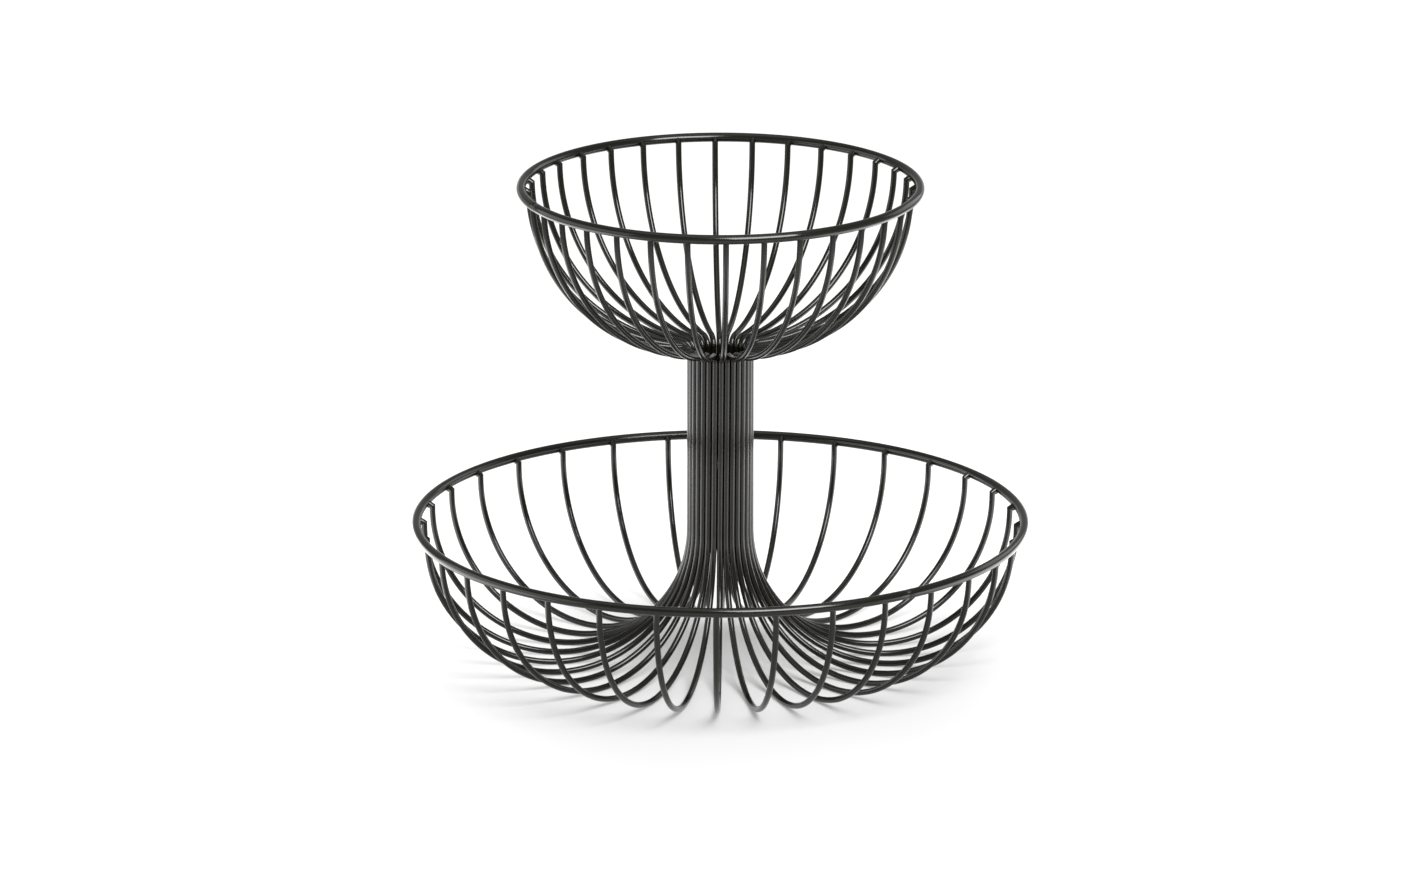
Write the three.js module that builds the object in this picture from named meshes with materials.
// A tiered wire serving stand: a deep round bowl above, a wide ring-shaped trough below, a slim column between.
// Each rib is one bent wire. It hangs on the upper rim, runs down the bowl's wall, turns into the column, flares
// out into the trough, stands on the table at the trough's lowest point and rises to the lower rim. The wires lean
// a little in the column, so that each rib stands further round in the bowl than in the trough.
// Millimetres, +Z up. The origin lies on the table, under the middle of the column.

import * as THREE from "three";

// Wire stock
const ribCount = 32;
const ribDiameter = 2.8;
const rimDiameter = 4.5;
const hoopDiameter = 2.8;

// Tiers and column, measured on the wires' centrelines
const lowerRimRadius = 150;
const upperRimRadius = 97.35;
const bowlRadius = 79.9;
const bowlLean = THREE.MathUtils.degToRad(1.7);
const columnLength = 90;
const topBendRadius = 2.9;
const hoopInset = 12;

// Where the first rib stands in the trough, and how much further round each rib stands in the bowl
const firstRib = THREE.MathUtils.degToRad(-0.8);
const tierTurn = THREE.MathUtils.degToRad(2.4);

// The bent tip that every rib puts against a rim
const hookBendRadius = 1.6;
const hookLength = 0.6;
const hookSlope = THREE.MathUtils.degToRad(27);

// The short flat under each rib that stands on the table
const restLength = 4;

// Clearances: between neighbours in the column, and where a weld joins two wires
const columnGap = 0.15;
const weldGap = 0.25;

// Facets
const rimSides = 8;
const rimSegments = 2 * ribCount;
const hoopSides = 8;
const hoopSegments = ribCount;
const hookBendSteps = 2;
const bowlSteps = 8;
const topBendSteps = 3;
const troughSteps = 6;

// Finish
const coatColour = 0x2b2b2c;
const coatRoughness = 0.45;
const coatMetalness = 0.2;

// Sizes that follow from the driving ones
const ribRadius = ribDiameter / 2;
const rimWireRadius = rimDiameter / 2;
const hoopWireRadius = hoopDiameter / 2;
const quarterTurn = Math.PI / 2;
const halfTurn = Math.PI;
const ribPitch = (2 * Math.PI) / ribCount;

// Packed side by side, the ribs set the column's radius by themselves.
const columnRadius = (ribDiameter + columnGap) / (2 * Math.sin(ribPitch / 2));

// A hook's bend, seen from the centre of its rim: the straight tip points at that centre.
const hookTip = rimWireRadius + weldGap;
const hookBack = hookTip + hookLength;
const hookBendInward = hookBack * Math.cos(hookSlope) - hookBendRadius * Math.sin(hookSlope);
const hookBendBelow = hookBack * Math.sin(hookSlope) + hookBendRadius * Math.cos(hookSlope);

// The trough is half a circle that leaves the column straight down and reaches the hook straight up.
const troughRadius = (lowerRimRadius - hookBendInward - hookBendRadius - columnRadius) / 2;
const troughMiddle = columnRadius + troughRadius;
const restAngle = Math.asin(restLength / 2 / (troughRadius + ribRadius));
const troughHeight = (troughRadius + ribRadius) * Math.cos(restAngle);
const lowerRimHeight = troughHeight + hookBendBelow;

// The bowl's arc touches the column's top bend below and the upper hook's bend above.
const topBendHeight = troughHeight + columnLength;
const bowlMiddle = upperRimRadius - hookBendInward - (bowlRadius + hookBendRadius) * Math.cos(bowlLean);
const topBendMiddle = columnRadius + topBendRadius;
const bowlHeight = topBendHeight + Math.sqrt((bowlRadius + topBendRadius) ** 2 - (topBendMiddle - bowlMiddle) ** 2);
const bowlFoot = Math.atan2(topBendHeight - bowlHeight, topBendMiddle - bowlMiddle);
const upperHookHeight = bowlHeight - (bowlRadius + hookBendRadius) * Math.sin(bowlLean);
const upperRimHeight = upperHookHeight + hookBendBelow;

// A bent wire's centreline, as a chain of flat curves in the XZ plane, each turned about Z. Each run has its own
// count of steps, so the steps lie close together in a tight bend and far apart along a straight.
class BentWire extends THREE.Curve {
  constructor(runs) {
    super();
    this.runs = runs;
    this.steps = runs.reduce((sum, run) => sum + run.steps, 0);
  }

  getPoint(t, target = new THREE.Vector3()) {
    let step = t * this.steps;
    let index = 0;
    while (index < this.runs.length - 1 && step > this.runs[index].steps) {
      step -= this.runs[index].steps;
      index += 1;
    }
    const run = this.runs[index];
    const share = step / run.steps;
    const flat = run.curve.getPoint(share);
    const turn = THREE.MathUtils.lerp(run.turnFrom, run.turnTo, share);
    return target.set(flat.x * Math.cos(turn), flat.x * Math.sin(turn), flat.y);
  }

  // Steps follow the runs' own counts, and not equal lengths of wire.
  getUtoTmapping(u) {
    return u;
  }
}

function arc(middle, height, radius, from, to, steps) {
  return { curve: new THREE.ArcCurve(middle, height, radius, from, to, to < from), steps };
}

function straight(from, to) {
  return { curve: new THREE.LineCurve(from, to), steps: 1 };
}

// A point on the line along which a hook's straight tip points at the centre of its rim
function onHookLine(rimRadius, rimHeight, distance) {
  const radius = rimRadius - distance * Math.cos(hookSlope);
  const height = rimHeight - distance * Math.sin(hookSlope);
  return new THREE.Vector2(radius, height);
}

function turned(runs, turnFrom, turnTo) {
  return runs.map((run) => ({ ...run, turnFrom, turnTo }));
}

// The wire's run from the lower rim to the foot of the column
function troughRuns() {
  const bottom = halfTurn + quarterTurn;
  const hookMiddle = troughMiddle + troughRadius + hookBendRadius;
  const hookEnd = quarterTurn + hookSlope;
  const tip = onHookLine(lowerRimRadius, lowerRimHeight, hookTip);
  const back = onHookLine(lowerRimRadius, lowerRimHeight, hookBack);
  return [
    straight(tip, back),
    arc(hookMiddle, troughHeight, hookBendRadius, hookEnd, halfTurn, hookBendSteps),
    arc(troughMiddle, troughHeight, troughRadius, 2 * Math.PI, bottom + restAngle, troughSteps),
    arc(troughMiddle, troughHeight, troughRadius, bottom + restAngle, bottom - restAngle, 1),
    arc(troughMiddle, troughHeight, troughRadius, bottom - restAngle, halfTurn, troughSteps),
  ];
}

function columnRuns() {
  const foot = new THREE.Vector2(columnRadius, troughHeight);
  const top = new THREE.Vector2(columnRadius, topBendHeight);
  return [straight(foot, top)];
}

// The wire's run from the top of the column to the upper rim
function bowlRuns() {
  const hookMiddle = upperRimRadius - hookBendInward;
  const hookEnd = quarterTurn + hookSlope;
  const back = onHookLine(upperRimRadius, upperRimHeight, hookBack);
  const tip = onHookLine(upperRimRadius, upperRimHeight, hookTip);
  return [
    arc(topBendMiddle, topBendHeight, topBendRadius, halfTurn, bowlFoot + halfTurn, topBendSteps),
    arc(bowlMiddle, bowlHeight, bowlRadius, bowlFoot, -bowlLean, bowlSteps),
    arc(hookMiddle, upperHookHeight, hookBendRadius, halfTurn - bowlLean, hookEnd, hookBendSteps),
    straight(back, tip),
  ];
}

// A round wire with six faces: as wide and as high as the round one and with its area. A flat lies on top and
// another underneath, and an edge on each side.
function ribSection() {
  const halfFlat = ribRadius * (quarterTurn - 1);
  const section = new THREE.Shape();
  section.moveTo(ribRadius, 0);
  section.lineTo(halfFlat, ribRadius);
  section.lineTo(-halfFlat, ribRadius);
  section.lineTo(-ribRadius, 0);
  section.lineTo(-halfFlat, -ribRadius);
  section.lineTo(halfFlat, -ribRadius);
  section.closePath();
  return section;
}

function ribGeometry() {
  const wire = new BentWire([
    ...turned(troughRuns(), 0, 0),
    ...turned(columnRuns(), 0, tierTurn),
    ...turned(bowlRuns(), tierTurn, tierTurn),
  ]);
  return new THREE.ExtrudeGeometry(ribSection(), { steps: wire.steps, extrudePath: wire, bevelEnabled: false });
}

// A wire bent into a ring, turned about Z. Its section has the round wire's area, and a corner on the ring's outer
// side.
function ringGeometry(ringRadius, wireRadius, sides, segments) {
  const sideAngle = (2 * Math.PI) / sides;
  const cornerRadius = wireRadius * Math.sqrt(sideAngle / Math.sin(sideAngle));
  const section = [];
  for (let corner = 0; corner <= sides; corner += 1) {
    const angle = sideAngle * (corner % sides);
    section.push(new THREE.Vector2(ringRadius + cornerRadius * Math.cos(angle), cornerRadius * Math.sin(angle)));
  }
  const ring = new THREE.LatheGeometry(section, segments);
  ring.rotateX(quarterTurn);
  return ring;
}

function coatedWire(name, geometry) {
  const coat = new THREE.MeshStandardMaterial({
    color: coatColour,
    roughness: coatRoughness,
    metalness: coatMetalness,
  });
  const mesh = new THREE.Mesh(geometry, coat);
  mesh.name = name;
  return mesh;
}

function ring(name, ringRadius, wireRadius, sides, segments, height) {
  const mesh = coatedWire(name, ringGeometry(ringRadius, wireRadius, sides, segments));
  mesh.position.z = height;
  return mesh;
}

const stand = new THREE.Group();

// Rims: one welded ring around the mouth of each tier
stand.add(ring("upper_rim", upperRimRadius, rimWireRadius, rimSides, rimSegments, upperRimHeight));
stand.add(ring("lower_rim", lowerRimRadius, rimWireRadius, rimSides, rimSegments, lowerRimHeight));

// Hoops: welded inside the column, near its ends, they hold the ribs in a circle
const hoopRadius = columnRadius - ribRadius - weldGap - hoopWireRadius;
const upperHoopHeight = topBendHeight - hoopInset;
const lowerHoopHeight = troughHeight + hoopInset;
stand.add(ring("column_hoop_upper", hoopRadius, hoopWireRadius, hoopSides, hoopSegments, upperHoopHeight));
stand.add(ring("column_hoop_lower", hoopRadius, hoopWireRadius, hoopSides, hoopSegments, lowerHoopHeight));

// Ribs: the same bent wire all round, the first one close to +X
const rib = ribGeometry();
for (let index = 0; index < ribCount; index += 1) {
  const mesh = coatedWire(`rib_${String(index + 1).padStart(2, "0")}`, rib);
  mesh.rotation.z = firstRib + index * ribPitch;
  stand.add(mesh);
}

export default stand;
